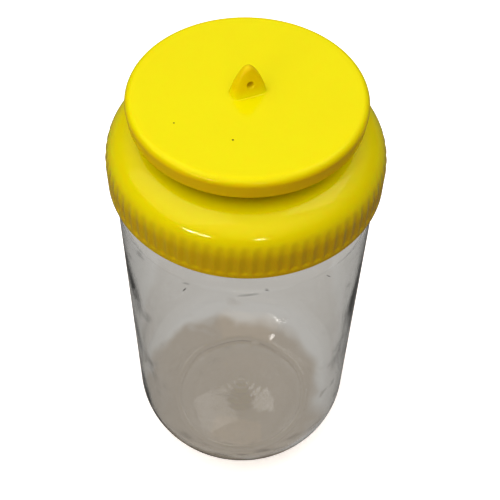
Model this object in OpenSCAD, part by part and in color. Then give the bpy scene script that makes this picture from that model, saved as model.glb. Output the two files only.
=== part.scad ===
// Hanging wasp trap: a clear screw-top jar, a ribbed screw lid that holds an entry
// funnel, and a round rain roof that stands on legs above the lid.
// Millimetres, +Z up, origin at the centre of the base.

/* [Jar] */
// Outer radius of the straight body
jar_r = 52.5; // [50:0.5:52.5]
// Wall thickness of the body
jar_wall = 1.0; // [0.6:0.1:1.4]
// Radius of the large curve between body and base
heel_r = 29; // [24:1:32]
// Radius of the ring that the jar stands on, in section
toe_r = 2.5; // [2:0.1:4]
// Slope at the edge of the base's raised dome
dome_turn = 42; // [30:1:45]
// Outer radius of the neck
neck_r = 49.8; // [49:0.1:50]
// Wall thickness of the neck
neck_wall = 1.8; // [1.4:0.1:2.2]

/* [Lid] */
// Outer radius of the skirt over the ribs
lid_r = 55; // [54.5:0.1:56]
// Inner radius of the skirt
skirt_inner_r = 52.9; // [52.6:0.1:53.1]
// Height of the skirt's lower edge above the base
lid_bottom = 176.7; // [176:0.1:177]
// Radius of the broad rounded shoulder
shoulder_r = 15.2; // [14:0.1:16]
// Number of grip ribs
rib_count = 75; // [60:1:90]
// Depth of the grooves between the ribs
rib_depth = 0.6; // [0.3:0.1:0.8]

/* [Thread] */
// Rise of the lid in one turn
lead = 12; // [9:1:12]
// Number of thread starts
starts = 3; // [2:1:4]

/* [Funnel] */
// Inner radius of the funnel's throat
throat_r = 9; // [7:0.5:12]
// Height of the throat above the base
throat_z = 152; // [145:1:160]
// Wall thickness of the funnel
funnel_wall = 1.4; // [1:0.1:2]

/* [Roof] */
// Outer radius of the roof
roof_r = 45.3; // [42:0.1:48]
// Height of the roof's flat top above the base
roof_top = 218.1; // [216:0.1:224]
// Height of the roof's turned-down lip
lip_h = 8.7; // [6:0.1:10]
// Radius of the roof's rounded edge
edge_r = 3.0; // [2:0.1:4]
// Thickness of the roof's plate
roof_t = 2.0; // [1.6:0.1:2.5]
// Number of legs under the roof
leg_count = 3; // [3:1:4]
// Distance of the legs from the centre
leg_place_r = 33.5; // [33:0.1:34]

/* [Hanging lug] */
// Width of the lug at its foot
lug_w = 14; // [12:0.5:18]
// Height of the lug above the roof
lug_h = 12.1; // [11:0.1:16]
// Thickness of the lug at its foot
lug_t = 7.0; // [5:0.1:8]
// Thickness of the lug at its tip
lug_tip_t = 3.0; // [2:0.1:3.5]
// Radius of the hole in the lug
lug_hole_r = 1.3; // [1:0.1:1.8]
// Height of the hole's centre above the roof
lug_hole_z = 5.1; // [4:0.1:6]
// Turn of the lug about the vertical axis
lug_turn = 24; // [0:1:90]

/* [Hidden] */

$fn = 96;
sink = 0.5;          // overlap between joined solids
yellow = [0.96, 0.88, 0.09];

// Jar heights and section angles
heel_turn = 42;      // part of the heel curve before the straight run to the foot
foot_run = 11.8;     // straight run between the heel curve and the standing ring
foot_flat = 1.2;     // width of the flat ring that touches the table
stand_r = jar_r - heel_r + (heel_r - toe_r) * cos(heel_turn) - foot_run * sin(heel_turn);
dome_r = (stand_r - foot_flat) / sin(dome_turn) - toe_r;
dome_z = toe_r - (toe_r + dome_r) * cos(dome_turn);
heel_z = toe_r + (heel_r - toe_r) * sin(heel_turn) + foot_run * cos(heel_turn);
neck_base_z = lid_bottom - 2.7;
neck_curve_h = 10;
rim_z = lid_bottom + 14.1;
rim_round = 0.6;

// Lid heights
wall_top = lid_bottom + 10.3;
crest_r = lid_r - shoulder_r;
crest_z = wall_top + shoulder_r;
shell_t = 2.1;
dish_slope = 28;
dish_round = 8;
seat_r = 29;
seat_z = crest_z - 6.2;
seat_floor_r = 25.5;
seat_floor_t = 1.8;
seal_t = 1.8;
seal_in_r = 46.6;
seal_out_r = 51.2;
land_z = rim_z + seal_t;
land_in_r = 47.2;
land_out_r = 51;
band_h = 2.2;

// Threads
thread_pitch = lead / starts;
thread_step = 8;
thread_from = 3.3;   // angle where the first thread starts
jar_thread_turn = 200;
lid_thread_turn = 120;
jar_thread_z = lid_bottom + 3.4;
lid_thread_z = jar_thread_z - thread_pitch / 2;
jar_thread_tip_r = 51.6;
lid_thread_tip_r = 50.7;
thread_root_w = 1.9;
thread_tip_w = 1.0;
thread_end = 0.3;    // share of the ridge's height left at its ends
thread_sink = 0.4;

// Roof legs, their bosses and snap pegs
boss_r = 4;
boss_top = crest_z - 0.2;  // clear of the dish beside it
boss_bottom = seat_z - seat_floor_t;
peg_r = 2.5;
peg_gap = 0.05;
leg_r = 3.5;
roof_under = roof_top - roof_t;
lip_t = 1.9;
lip_taper = 0.5;     // the lip draws in towards its edge
lip_bevel = 0.4;
under_fillet = 1.8;
web_t = 1.4;
web_h = 3;
web_reach = 8.5;     // length of a web beyond its leg
hub_r = 6;

// Funnel flange and throat collar
flange_t = 1.5;
flange_gap = 0.1;
collar_h = 4;

// Hanging lug
lug_tip_r = 3.2;
lug_side_h = 0.8;    // upright part of the lug's sides
lug_tip_rise = 0.6;

// Points along a circular arc from angle a0 to a1
function arc(c, r, a0, a1, n) =
    [for (i = [0 : n]) let (a = a0 + (a1 - a0) * i / n) c + r * [cos(a), sin(a)]];

// Smooth change from 0 to 1
function ease(u) = (1 - cos(180 * u)) / 2;

// One face of the jar wall from the base's centre to the rim, set inward by t
function jar_face(t, neck_t) = concat(
    arc([0, dome_z], dome_r + t, 90, 90 - dome_turn, 6),
    arc([stand_r - foot_flat, toe_r], toe_r - t, -90 - dome_turn, -90, 5),
    arc([stand_r, toe_r], toe_r - t, -90, -heel_turn, 5),
    arc([jar_r - heel_r, heel_z], heel_r - t, -heel_turn, 0, 8),
    [for (i = [0 : 8]) let (u = i / 8)
        [jar_r - t + (neck_r - neck_t - jar_r + t) * ease(u),
         neck_base_z - neck_curve_h + neck_curve_h * u]]
);

// Outer face of the lid shell from the skirt's edge to the funnel seat
function lid_outside() = concat(
    [[lid_r, lid_bottom]],
    arc([crest_r, wall_top], shoulder_r, 0, 90, 16),
    arc([crest_r, crest_z - dish_round], dish_round, 94, 90 + dish_slope, 4)
);
function dish_end() = [crest_r - dish_round * sin(dish_slope),
                       crest_z - dish_round * (1 - cos(dish_slope))];
// Height of the middle of the shoulder's shell at radius r
function shell_mid_z(r) =
    wall_top + sqrt(pow(shoulder_r - shell_t / 2, 2) - pow(r - crest_r, 2));
function dish_z(r) = dish_end()[1] - (dish_end()[0] - r) * tan(dish_slope);

// Helical thread ridge: a trapezoid section swept along a helix
module thread(root_r, tip_r, z0, turn) {
    n = ceil(turn / thread_step);
    points = [for (i = [0 : n]) let (
            u = i / n,
            a = turn * u,
            z = z0 + lead * a / 360,
            fade = min(1, 6 * u, 6 * (1 - u)),
            tip = root_r + (tip_r - root_r) * (thread_end + (1 - thread_end) * fade))
        for (p = [[root_r, -thread_root_w / 2], [tip, -thread_tip_w / 2],
                  [tip, thread_tip_w / 2], [root_r, thread_root_w / 2]])
        [p[0] * cos(a), p[0] * sin(a), z + p[1]]];
    outward = tip_r > root_r;
    sides = [for (i = [0 : n - 1], j = [0 : 3])
        let (k = (j + 1) % 4, f = [4*i + j, 4*i + k, 4*i + 4 + k, 4*i + 4 + j])
        outward ? f : [f[3], f[2], f[1], f[0]]];
    ends = [outward ? [3, 2, 1, 0] : [0, 1, 2, 3],
            outward ? [4*n, 4*n + 1, 4*n + 2, 4*n + 3] : [4*n + 3, 4*n + 2, 4*n + 1, 4*n]];
    for (s = [0 : starts - 1])
        rotate([0, 0, thread_from + 360 * s / starts]) polyhedron(points, concat(ends, sides));
}

module jar() {
    color([0.82, 0.83, 0.83, 0.35]) {
        rotate_extrude() {
            outside = jar_face(0, 0);
            inside = jar_face(jar_wall, neck_wall);
            polygon(concat(outside,
                arc([neck_r - rim_round, rim_z - rim_round], rim_round, 0, 90, 4),
                arc([neck_r - neck_wall + rim_round, rim_z - rim_round], rim_round, 90, 180, 4),
                [for (i = [len(inside) - 1 : -1 : 0]) inside[i]]));
        }
        thread(neck_r - thread_sink, jar_thread_tip_r, jar_thread_z, jar_thread_turn);
    }
}

module lid_seal() {
    color([0.93, 0.93, 0.90])
        translate([0, 0, rim_z]) difference() {
            cylinder(h = seal_t, r = seal_out_r);
            translate([0, 0, -1]) cylinder(h = seal_t + 2, r = seal_in_r);
        }
}

// Revolved shell of the lid, with the seal land and the funnel seat
module lid_shell() {
    rotate_extrude() polygon(concat(
        lid_outside(),
        [[seat_r, dish_z(seat_r)], [seat_r, seat_z], [seat_floor_r, seat_z],
         [seat_floor_r, boss_bottom], [seat_r + flange_t, boss_bottom],
         dish_end() + shell_t * [sin(dish_slope), -cos(dish_slope)], [crest_r, crest_z - shell_t]],
        arc([crest_r, wall_top], shoulder_r - shell_t, 85, 0, 12),
        [[skirt_inner_r, lid_bottom]]));
    rotate_extrude() polygon([
        [land_in_r, land_z], [land_out_r, land_z],
        [land_out_r, shell_mid_z(land_out_r)], [land_in_r, shell_mid_z(land_in_r)]]);
}

// Tool that cuts the grooves between the grip ribs
module rib_grooves() {
    groove_r = lid_r - rib_depth;
    pitch = 360 / rib_count;
    translate([0, 0, lid_bottom + band_h]) linear_extrude(height = wall_top - lid_bottom + 3)
        difference() {
            circle(r = lid_r + 3);
            polygon([for (i = [0 : rib_count - 1], s = [[-0.36, 0], [-0.16, 1], [0.16, 1], [0.36, 0]])
                let (a = (i + s[0]) * pitch, r = groove_r + s[1] * (rib_depth + 0.2))
                [r * cos(a), r * sin(a)]]);
        }
}

module at_legs() {
    for (i = [0 : leg_count - 1])
        rotate([0, 0, 90 + 360 * i / leg_count]) translate([leg_place_r, 0, 0]) children();
}

module screw_lid() {
    color(yellow) {
        difference() {
            union() {
                lid_shell();
                at_legs() translate([0, 0, boss_bottom])
                    cylinder(h = boss_top - boss_bottom, r = boss_r);
            }
            rib_grooves();
            at_legs() translate([0, 0, boss_bottom - 1])
                cylinder(h = boss_top - boss_bottom + 2, r = peg_r + peg_gap);
        }
        thread(skirt_inner_r + thread_sink, lid_thread_tip_r, lid_thread_z, lid_thread_turn);
    }
}

module entry_funnel() {
    flange_r = seat_r - flange_gap;
    top_r = seat_floor_r - 0.4;
    outer_throat_r = throat_r + funnel_wall;
    color(yellow) rotate_extrude() polygon([
        [flange_r, seat_z], [flange_r, seat_z + flange_t],
        [top_r - funnel_wall, seat_z + flange_t],
        [throat_r, throat_z + collar_h], [throat_r, throat_z],
        [outer_throat_r, throat_z], [outer_throat_r, throat_z + collar_h],
        [top_r, seat_z - flange_t], [top_r, seat_z]]);
}

// Fin with sloping sides and a round tip; it thins evenly from foot to tip
module lug() {
    half = lug_w / 2;
    tip_z = lug_h - lug_tip_r;
    over_z = lug_h + 1;
    rotate([0, 0, lug_turn]) translate([0, 0, roof_top]) difference() {
        rotate([90, 0, 0]) linear_extrude(height = lug_t, center = true) {
            polygon([[-half, -sink], [half, -sink], [half, lug_side_h],
                     [lug_tip_r, tip_z + lug_tip_rise], [-lug_tip_r, tip_z + lug_tip_rise],
                     [-half, lug_side_h]]);
            translate([0, tip_z]) circle(r = lug_tip_r);
        }
        for (side = [0, 180]) rotate([0, 0, side]) rotate([90, 0, 90])
            translate([0, 0, -lug_w]) linear_extrude(height = 2 * lug_w)
                polygon([[lug_t / 2, 0], [lug_t, 0], [lug_t, over_z],
                         [lug_tip_t / 2, over_z], [lug_tip_t / 2, lug_h]]);
        rotate([90, 0, 0]) translate([0, lug_hole_z, -lug_t])
            cylinder(h = 2 * lug_t, r = lug_hole_r);
    }
}

// Stiffening web from the hub past one leg, in the leg's frame
module web() {
    start_r = hub_r / 3;
    translate([start_r - leg_place_r, -web_t / 2, roof_under - web_h])
        cube([leg_place_r - start_r + web_reach, web_t, web_h + sink]);
}

module rain_roof() {
    lip_bottom = roof_top - lip_h;
    lip_in_r = roof_r - lip_t;
    color(yellow) {
        rotate_extrude() polygon(concat(
            [[0, roof_top]],
            arc([roof_r - edge_r, roof_top - edge_r], edge_r, 90, 0, 8),
            [[roof_r - lip_taper, lip_bottom + lip_bevel],
             [roof_r - lip_taper - lip_bevel, lip_bottom],
             [lip_in_r - lip_bevel, lip_bottom]],
            arc([lip_in_r - under_fillet, roof_under - under_fillet], under_fillet, 0, 90, 4),
            [[0, roof_under]]));
        lug();
        at_legs() {
            translate([0, 0, boss_top]) cylinder(h = roof_under - boss_top + sink, r = leg_r);
            translate([0, 0, boss_bottom])
                cylinder(h = boss_top - boss_bottom + sink, r = peg_r);
            web();
        }
        translate([0, 0, roof_under - web_h]) cylinder(h = web_h + sink, r = hub_r);
    }
}

jar();
lid_seal();
screw_lid();
entry_funnel();
rain_roof();
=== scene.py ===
"""Looks of a hanging wasp trap: clear jar, ribbed yellow screw lid, entry funnel and rain roof.

Every new piece is a surface worked out with numpy in millimetres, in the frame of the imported
model, and stands for the CAD node of the same part. Lengths are millimetres until a mesh is
made; the one factor MM turns them into metres.
"""

import logging
import math
from dataclasses import dataclass
from enum import Enum
from typing import Any, Callable, Sequence

import bpy
import numpy as np
from mathutils import Matrix, Vector


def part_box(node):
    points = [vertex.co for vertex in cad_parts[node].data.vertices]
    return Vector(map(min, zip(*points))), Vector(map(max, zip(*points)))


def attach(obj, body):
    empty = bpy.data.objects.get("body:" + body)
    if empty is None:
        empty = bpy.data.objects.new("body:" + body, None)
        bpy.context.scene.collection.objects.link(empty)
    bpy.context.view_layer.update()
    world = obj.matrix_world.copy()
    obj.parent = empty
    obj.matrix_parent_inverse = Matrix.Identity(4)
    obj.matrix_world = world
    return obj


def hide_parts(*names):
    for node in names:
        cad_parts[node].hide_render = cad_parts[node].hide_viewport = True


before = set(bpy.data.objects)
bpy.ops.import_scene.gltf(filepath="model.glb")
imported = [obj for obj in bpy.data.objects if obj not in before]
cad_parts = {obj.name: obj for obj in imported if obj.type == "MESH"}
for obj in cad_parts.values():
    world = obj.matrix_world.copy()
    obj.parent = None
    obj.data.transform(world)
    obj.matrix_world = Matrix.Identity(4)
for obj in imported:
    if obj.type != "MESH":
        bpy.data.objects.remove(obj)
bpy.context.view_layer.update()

MM = 0.001
MIX_SHARE, MIX_FIRST, MIX_SECOND, MIX_COLOUR = 0, 6, 7, 2  # colour sockets of a Mix node
LOG = logging.getLogger("wasp_trap")

Profile = np.ndarray
Shift = Callable[[np.ndarray, np.ndarray], np.ndarray]


# ---------------------------------------------------------------- colours and nodes


def linear(hex_colour: str, alpha: float = 1.0) -> tuple[float, float, float, float]:
    """Turns an sRGB hex colour into linear RGBA.

    Args:
        hex_colour: six hex digits with a leading hash.
        alpha: the fourth channel, kept as it is.

    Returns:
        Red, green, blue and alpha, each from 0 to 1.
    """
    channels = [int(hex_colour[i : i + 2], 16) / 255 for i in (1, 3, 5)]
    r, g, b = (c / 12.92 if c <= 0.04045 else ((c + 0.055) / 1.055) ** 2.4 for c in channels)
    return r, g, b, alpha


def add_node(
    tree: bpy.types.NodeTree,
    kind: str,
    settings: dict[str, Any] | None = None,
    inputs: dict[Any, Any] | None = None,
) -> bpy.types.Node:
    """Adds one node, sets its properties, and fills or links its inputs.

    Args:
        tree: the node tree that gets the node.
        kind: Blender's name of the node type.
        settings: property names and their values.
        inputs: input names or numbers, each with a plain value or an output socket to link.

    Returns:
        The new node.
    """
    node = tree.nodes.new(kind)
    for name, value in (settings or {}).items():
        setattr(node, name, value)
    for key, value in (inputs or {}).items():
        if isinstance(value, bpy.types.NodeSocket):
            tree.links.new(value, node.inputs[key])
        else:
            node.inputs[key].default_value = value
    return node


def new_material(name: str) -> tuple[bpy.types.Material, bpy.types.NodeTree]:
    """Makes an empty node material.

    Args:
        name: name of the material.

    Returns:
        The material and its node tree.
    """
    material = bpy.data.materials.new(name)
    material.use_nodes = True
    material.node_tree.nodes.clear()
    return material, material.node_tree


# ---------------------------------------------------------------- finishes


@dataclass(frozen=True)
class Speck:
    """A dark inclusion in moulded plastic: its place on the piece and its radius, in mm."""

    place: tuple[float, float, float]
    radius: float


@dataclass(frozen=True)
class PaintedShadeZone:
    """Heights between which a moulding turns from a bright to a deep yellow, in mm.

    The deep yellow is painted shade: it darkens upright faces that get less light, such as the
    lid's skirt, the roof's lip and the lug.
    """

    lit_at: float
    shaded_at: float
    colour: str


@dataclass(frozen=True)
class MouldedPolypropylene:
    """Injection-moulded polypropylene in a strong masterbatch yellow.

    The eye gets a smooth, slightly waxy skin with a clear highlight, a faint glow from light
    that scatters inside it, and a colour that drifts a little where the melt flowed. Bands of
    painted shade can deepen the yellow on faces that get less light.
    """

    name: str
    colour: str = "#F4F000"
    flow_colour: str = "#F1EB00"
    roughness: float = 0.2
    glow: float = 0.4
    sheen_level: float = 0.4
    peel_depth: float = 0.008
    specks: tuple[Speck, ...] = ()
    # thick: bands of painted shade, where the yellow deepens on faces that get less light
    thick: tuple[PaintedShadeZone, ...] = ()

    FLOW_SIZE = 28.0
    PEEL_SIZE = 1.6
    SPECK_COLOUR = "#3A2E0A"

    def build(self) -> bpy.types.Material:
        """Builds the finish as a node material.

        Returns:
            The material.
        """
        material, tree = new_material(self.name)
        place = add_node(tree, "ShaderNodeTexCoord").outputs["Object"]
        flow = add_node(
            tree,
            "ShaderNodeTexNoise",
            inputs={"Vector": place, "Scale": 1 / (self.FLOW_SIZE * MM), "Detail": 3.0},
        )
        tint = add_node(
            tree,
            "ShaderNodeMix",
            {"data_type": "RGBA"},
            {
                MIX_SHARE: flow.outputs["Fac"],
                MIX_FIRST: linear(self.flow_colour),
                MIX_SECOND: linear(self.colour),
            },
        )
        colour = tint.outputs[MIX_COLOUR]
        # Painted shade: deepen the yellow in the bands where less light falls
        for zone in self.thick:
            colour = self._with_painted_shade(tree, place, colour, zone)
        for speck in self.specks:
            colour = self._with_speck(tree, place, colour, speck)
        handled = add_node(
            tree,
            "ShaderNodeMapRange",
            inputs={
                "Value": flow.outputs["Fac"],
                "From Min": 0.3,
                "From Max": 0.7,
                "To Min": self.roughness * 0.85,
                "To Max": self.roughness * 1.25,
            },
        )
        peel = add_node(
            tree,
            "ShaderNodeTexNoise",
            inputs={"Vector": place, "Scale": 1 / (self.PEEL_SIZE * MM), "Detail": 2.0},
        )
        bump = add_node(
            tree,
            "ShaderNodeBump",
            inputs={
                "Strength": 0.35,
                "Distance": self.peel_depth * MM,
                "Height": peel.outputs["Fac"],
            },
        )
        shader = add_node(
            tree,
            "ShaderNodeBsdfPrincipled",
            inputs={
                "Base Color": colour,
                "Roughness": handled.outputs["Result"],
                "Normal": bump.outputs["Normal"],
                "IOR": 1.49,
                "Specular IOR Level": self.sheen_level,
                "Subsurface Weight": self.glow,
                "Subsurface Radius": (1.0, 0.65, 0.05),
                "Subsurface Scale": 1.8 * MM,
            },
        )
        add_node(tree, "ShaderNodeOutputMaterial", inputs={"Surface": shader.outputs[0]})
        return material

    def _with_painted_shade(
        self,
        tree: bpy.types.NodeTree,
        place: bpy.types.NodeSocket,
        colour: bpy.types.NodeSocket,
        zone: PaintedShadeZone,
    ) -> bpy.types.NodeSocket:
        """Paints shade: deepens the colour smoothly from the lit height to the shaded height.

        Args:
            tree: the material's node tree.
            place: the Object coordinates.
            colour: the colour so far.
            zone: the heights and the colour of the painted shade.

        Returns:
            The new colour.
        """
        height = add_node(tree, "ShaderNodeSeparateXYZ", inputs={0: place}).outputs["Z"]
        share = add_node(
            tree,
            "ShaderNodeMapRange",
            {"interpolation_type": "SMOOTHSTEP"},
            {
                "Value": height,
                "From Min": zone.lit_at * MM,
                "From Max": zone.shaded_at * MM,
                "To Min": 0.0,
                "To Max": 1.0,
            },
        )
        mixed = add_node(
            tree,
            "ShaderNodeMix",
            {"data_type": "RGBA"},
            {
                MIX_SHARE: share.outputs["Result"],
                MIX_FIRST: colour,
                MIX_SECOND: linear(zone.colour),
            },
        )
        return mixed.outputs[MIX_COLOUR]

    def _with_speck(
        self,
        tree: bpy.types.NodeTree,
        place: bpy.types.NodeSocket,
        colour: bpy.types.NodeSocket,
        speck: Speck,
    ) -> bpy.types.NodeSocket:
        """Darkens the colour inside a small ball.

        Args:
            tree: the material's node tree.
            place: the Object coordinates.
            colour: the colour so far.
            speck: the inclusion.

        Returns:
            The new colour.
        """
        centre = tuple(c * MM for c in speck.place)
        gap = add_node(
            tree, "ShaderNodeVectorMath", {"operation": "DISTANCE"}, {0: place, 1: centre}
        )
        inside = add_node(
            tree,
            "ShaderNodeMapRange",
            {"interpolation_type": "SMOOTHSTEP"},
            {
                "Value": gap.outputs["Value"],
                "From Min": speck.radius * 0.5 * MM,
                "From Max": speck.radius * 1.2 * MM,
                "To Min": 1.0,
                "To Max": 0.0,
            },
        )
        mixed = add_node(
            tree,
            "ShaderNodeMix",
            {"data_type": "RGBA"},
            {
                MIX_SHARE: inside.outputs["Result"],
                MIX_FIRST: colour,
                MIX_SECOND: linear(self.SPECK_COLOUR),
            },
        )
        return mixed.outputs[MIX_COLOUR]


@dataclass(frozen=True)
class PaintedReflectionStroke:
    """A dark stroke on the jar's wall where the shoulder begins to curve, a painted reflection:
    place, turn and half sizes in mm.

    The half sizes run along the stroke, across it, and into the wall.
    """

    place: tuple[float, float, float]
    azimuth: float
    tilt: float
    half: tuple[float, float, float] = (5.0, 0.3, 3.0)


@dataclass(frozen=True)
class BlownPet:
    """Stretch-blown clear PET, about 1 mm thick.

    The eye gets a clear, faintly grey wall whose inner face is a little uneven, sharp
    reflections, and light scuffs from handling. Dark strokes painted near the shoulder stand
    in for dark reflections there.
    """

    name: str = "blown_clear_pet"
    colour: str = "#FFFFFF"
    roughness: float = 0.015
    scuff_roughness: float = 0.22
    ior: float = 1.57
    reflection_strokes: tuple[PaintedReflectionStroke, ...] = ()

    RIPPLE_SIZE = 34.0
    # Colour of the painted dark reflections
    REFLECTION_STROKE_COLOUR = "#3C3A36"
    SCUFF_SIZE = 9.0

    def build(self) -> bpy.types.Material:
        """Builds the finish as a node material.

        Returns:
            The material.
        """
        material, tree = new_material(self.name)
        place = add_node(tree, "ShaderNodeTexCoord").outputs["Object"]
        stretched = add_node(
            tree, "ShaderNodeMapping", inputs={"Vector": place, "Scale": (1.0, 1.0, 0.45)}
        )
        ripple = add_node(
            tree,
            "ShaderNodeTexNoise",
            inputs={
                "Vector": stretched.outputs[0],
                "Scale": 1 / (self.RIPPLE_SIZE * MM),
                "Detail": 2.0,
            },
        )
        scuff = add_node(
            tree,
            "ShaderNodeTexNoise",
            inputs={"Vector": place, "Scale": 1 / (self.SCUFF_SIZE * MM), "Detail": 9.0},
        )
        worn = add_node(
            tree,
            "ShaderNodeMapRange",
            inputs={
                "Value": scuff.outputs["Fac"],
                "From Min": 0.56,
                "From Max": 0.78,
                "To Min": self.roughness,
                "To Max": self.scuff_roughness,
            },
        )
        bump = add_node(
            tree,
            "ShaderNodeBump",
            inputs={"Strength": 0.5, "Distance": 0.5 * MM, "Height": ripple.outputs["Fac"]},
        )
        clear = add_node(tree, "ShaderNodeRGB")
        clear.outputs[0].default_value = linear(self.colour)
        colour = clear.outputs[0]
        # Painted reflection: dark strokes near the shoulder stand in for the dark reflections there
        for mark in self.reflection_strokes:
            colour = self._with_reflection_stroke(tree, place, scuff.outputs["Fac"], colour, mark)
        shader = add_node(
            tree,
            "ShaderNodeBsdfPrincipled",
            inputs={
                "Base Color": colour,
                "Roughness": worn.outputs["Result"],
                "Normal": bump.outputs["Normal"],
                "IOR": self.ior,
                "Transmission Weight": 1.0,
            },
        )
        add_node(tree, "ShaderNodeOutputMaterial", inputs={"Surface": shader.outputs[0]})
        return material

    def _with_reflection_stroke(
        self,
        tree: bpy.types.NodeTree,
        place: bpy.types.NodeSocket,
        grain: bpy.types.NodeSocket,
        colour: bpy.types.NodeSocket,
        mark: PaintedReflectionStroke,
    ) -> bpy.types.NodeSocket:
        """Paints a dark reflection: darkens the colour inside a long thin ellipsoid that noise
        breaks up.

        Args:
            tree: the material's node tree.
            place: the Object coordinates.
            grain: noise from 0 to 1.
            colour: the colour so far.
            mark: the stroke.

        Returns:
            The new colour.
        """
        turned = add_node(
            tree,
            "ShaderNodeMapping",
            {"vector_type": "TEXTURE"},
            {
                "Vector": place,
                "Location": tuple(c * MM for c in mark.place),
                "Rotation": (0, math.radians(mark.tilt), math.radians(mark.azimuth)),
                "Scale": (mark.half[0] * MM, mark.half[2] * MM, mark.half[1] * MM),
            },
        )
        out = add_node(
            tree, "ShaderNodeVectorMath", {"operation": "LENGTH"}, {0: turned.outputs[0]}
        )
        ragged = add_node(
            tree, "ShaderNodeMath", {"operation": "ADD"}, {0: out.outputs["Value"], 1: grain}
        )
        inside = add_node(
            tree,
            "ShaderNodeMapRange",
            {"interpolation_type": "SMOOTHSTEP"},
            {
                "Value": ragged.outputs[0],
                "From Min": 0.9,
                "From Max": 1.4,
                "To Min": 0.75,
                "To Max": 0.0,
            },
        )
        mixed = add_node(
            tree,
            "ShaderNodeMix",
            {"data_type": "RGBA"},
            {
                MIX_SHARE: inside.outputs["Result"],
                MIX_FIRST: colour,
                MIX_SECOND: linear(self.REFLECTION_STROKE_COLOUR),
            },
        )
        return mixed.outputs[MIX_COLOUR]


@dataclass(frozen=True)
class FoamSheet:
    """Die-cut closed-cell polyethylene foam: matt, off-white, with a fine cell texture."""

    name: str = "cell_foam"
    colour: str = "#E9E7DC"
    cell_shade: str = "#CFCCBE"
    cell_size: float = 0.5

    def build(self) -> bpy.types.Material:
        """Builds the finish as a node material.

        Returns:
            The material.
        """
        material, tree = new_material(self.name)
        place = add_node(tree, "ShaderNodeTexCoord").outputs["Object"]
        cells = add_node(
            tree,
            "ShaderNodeTexVoronoi",
            inputs={"Vector": place, "Scale": 1 / (self.cell_size * MM)},
        )
        shade = add_node(
            tree,
            "ShaderNodeMix",
            {"data_type": "RGBA"},
            {
                MIX_SHARE: cells.outputs["Distance"],
                MIX_FIRST: linear(self.colour),
                MIX_SECOND: linear(self.cell_shade),
            },
        )
        bump = add_node(
            tree,
            "ShaderNodeBump",
            inputs={"Strength": 0.5, "Distance": 0.1 * MM, "Height": cells.outputs["Distance"]},
        )
        shader = add_node(
            tree,
            "ShaderNodeBsdfPrincipled",
            inputs={
                "Base Color": shade.outputs[MIX_COLOUR],
                "Roughness": 0.75,
                "Normal": bump.outputs["Normal"],
            },
        )
        add_node(tree, "ShaderNodeOutputMaterial", inputs={"Surface": shader.outputs[0]})
        return material


# ---------------------------------------------------------------- surfaces


def arc(
    centre: tuple[float, float], radius: float, start: float, end: float, steps: int
) -> Profile:
    """Points on a circle: the centre plus the radius along each angle from start to end.

    Args:
        centre: radius from the axis and height of the circle's centre.
        radius: radius of the circle.
        start: first angle in degrees, from the outward direction towards +Z.
        end: last angle in degrees.
        steps: number of points less one.

    Returns:
        An array of (radius, height) rows.
    """
    a = np.radians(np.linspace(start, end, steps + 1))
    return np.stack([centre[0] + radius * np.cos(a), centre[1] + radius * np.sin(a)], 1)


def line(start: tuple[float, float], end: tuple[float, float], steps: int) -> Profile:
    """Evenly spaced points from start to end, both included."""
    u = np.linspace(0, 1, steps + 1)[:, None]
    return np.array(start) * (1 - u) + np.array(end) * u


def ease(u: np.ndarray) -> np.ndarray:
    """A smooth change from 0 to 1: three times the square less twice the cube."""
    u = np.clip(u, 0, 1)
    return u * u * (3 - 2 * u)


def joined(*parts: Profile) -> Profile:
    """Joins runs of points and drops a point that repeats the one before it.

    Args:
        parts: the runs, in order.

    Returns:
        One run of (radius, height) rows.
    """
    points = np.concatenate(parts)
    keep = np.r_[True, np.linalg.norm(np.diff(points, axis=0), axis=1) > 1e-6]
    return points[keep]


def swept_faces(rows: int, columns: int, close_rows: bool) -> np.ndarray:
    """Quads of a grid whose columns close on themselves.

    Args:
        rows: number of rings.
        columns: number of points in a ring.
        close_rows: True if the last ring joins the first.

    Returns:
        An array of four vertex numbers per quad.
    """
    i = np.arange(rows if close_rows else rows - 1)[:, None]
    j = np.arange(columns)[None, :]
    below, above = i % rows * columns, (i + 1) % rows * columns
    after = (j + 1) % columns
    return np.stack(
        [below + j, below + after, above + after, above + j], -1
    ).reshape(-1, 4)


def capped_faces(rows: int, columns: int) -> list[list[int]]:
    """Faces of a grid of rings that is closed at both ends by fans.

    The two poles are the points that follow the grid: first the one of the first ring, then
    the one of the last.

    Args:
        rows: number of rings.
        columns: number of points in a ring.

    Returns:
        Vertex numbers of each face.
    """
    ring = np.arange(columns)
    after = (ring + 1) % columns
    pole = np.full(columns, rows * columns)
    last = (rows - 1) * columns
    first_fan = np.stack([after, ring, pole], 1)
    last_fan = np.stack([last + ring, last + after, pole + 1], 1)
    quads = swept_faces(rows, columns, False)
    return quads.tolist() + first_fan.tolist() + last_fan.tolist()


def mesh_object(
    name: str, points: np.ndarray, faces: Sequence[Sequence[int]], crease: float = 32.0
) -> bpy.types.Object:
    """Puts points and faces into a mesh object, with its faces turned outwards.

    The signed volume is the sum of the triple products of each face's fan triangles; where
    it is negative every face is turned round.

    Args:
        name: name of the object.
        points: vertex places in mm.
        faces: vertex numbers of each face.
        crease: angle in degrees above which an edge stays sharp.

    Returns:
        The object.
    """
    volume = 0.0
    for size in {len(f) for f in faces}:
        block = np.array([f for f in faces if len(f) == size])
        for k in range(1, size - 1):
            a, b, c = (points[block[:, n]] for n in (0, k, k + 1))
            volume += float(np.einsum("ij,ij->", a, np.cross(b, c)))
    if volume < 0:
        faces = [f[::-1] for f in faces]
    mesh = bpy.data.meshes.new(name)
    mesh.from_pydata((points * MM).tolist(), [], [list(f) for f in faces])
    mesh.validate()
    mesh.shade_smooth()
    mesh.set_sharp_from_angle(angle=math.radians(crease))
    obj = bpy.data.objects.new(name, mesh)
    bpy.context.scene.collection.objects.link(obj)
    return obj


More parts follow.
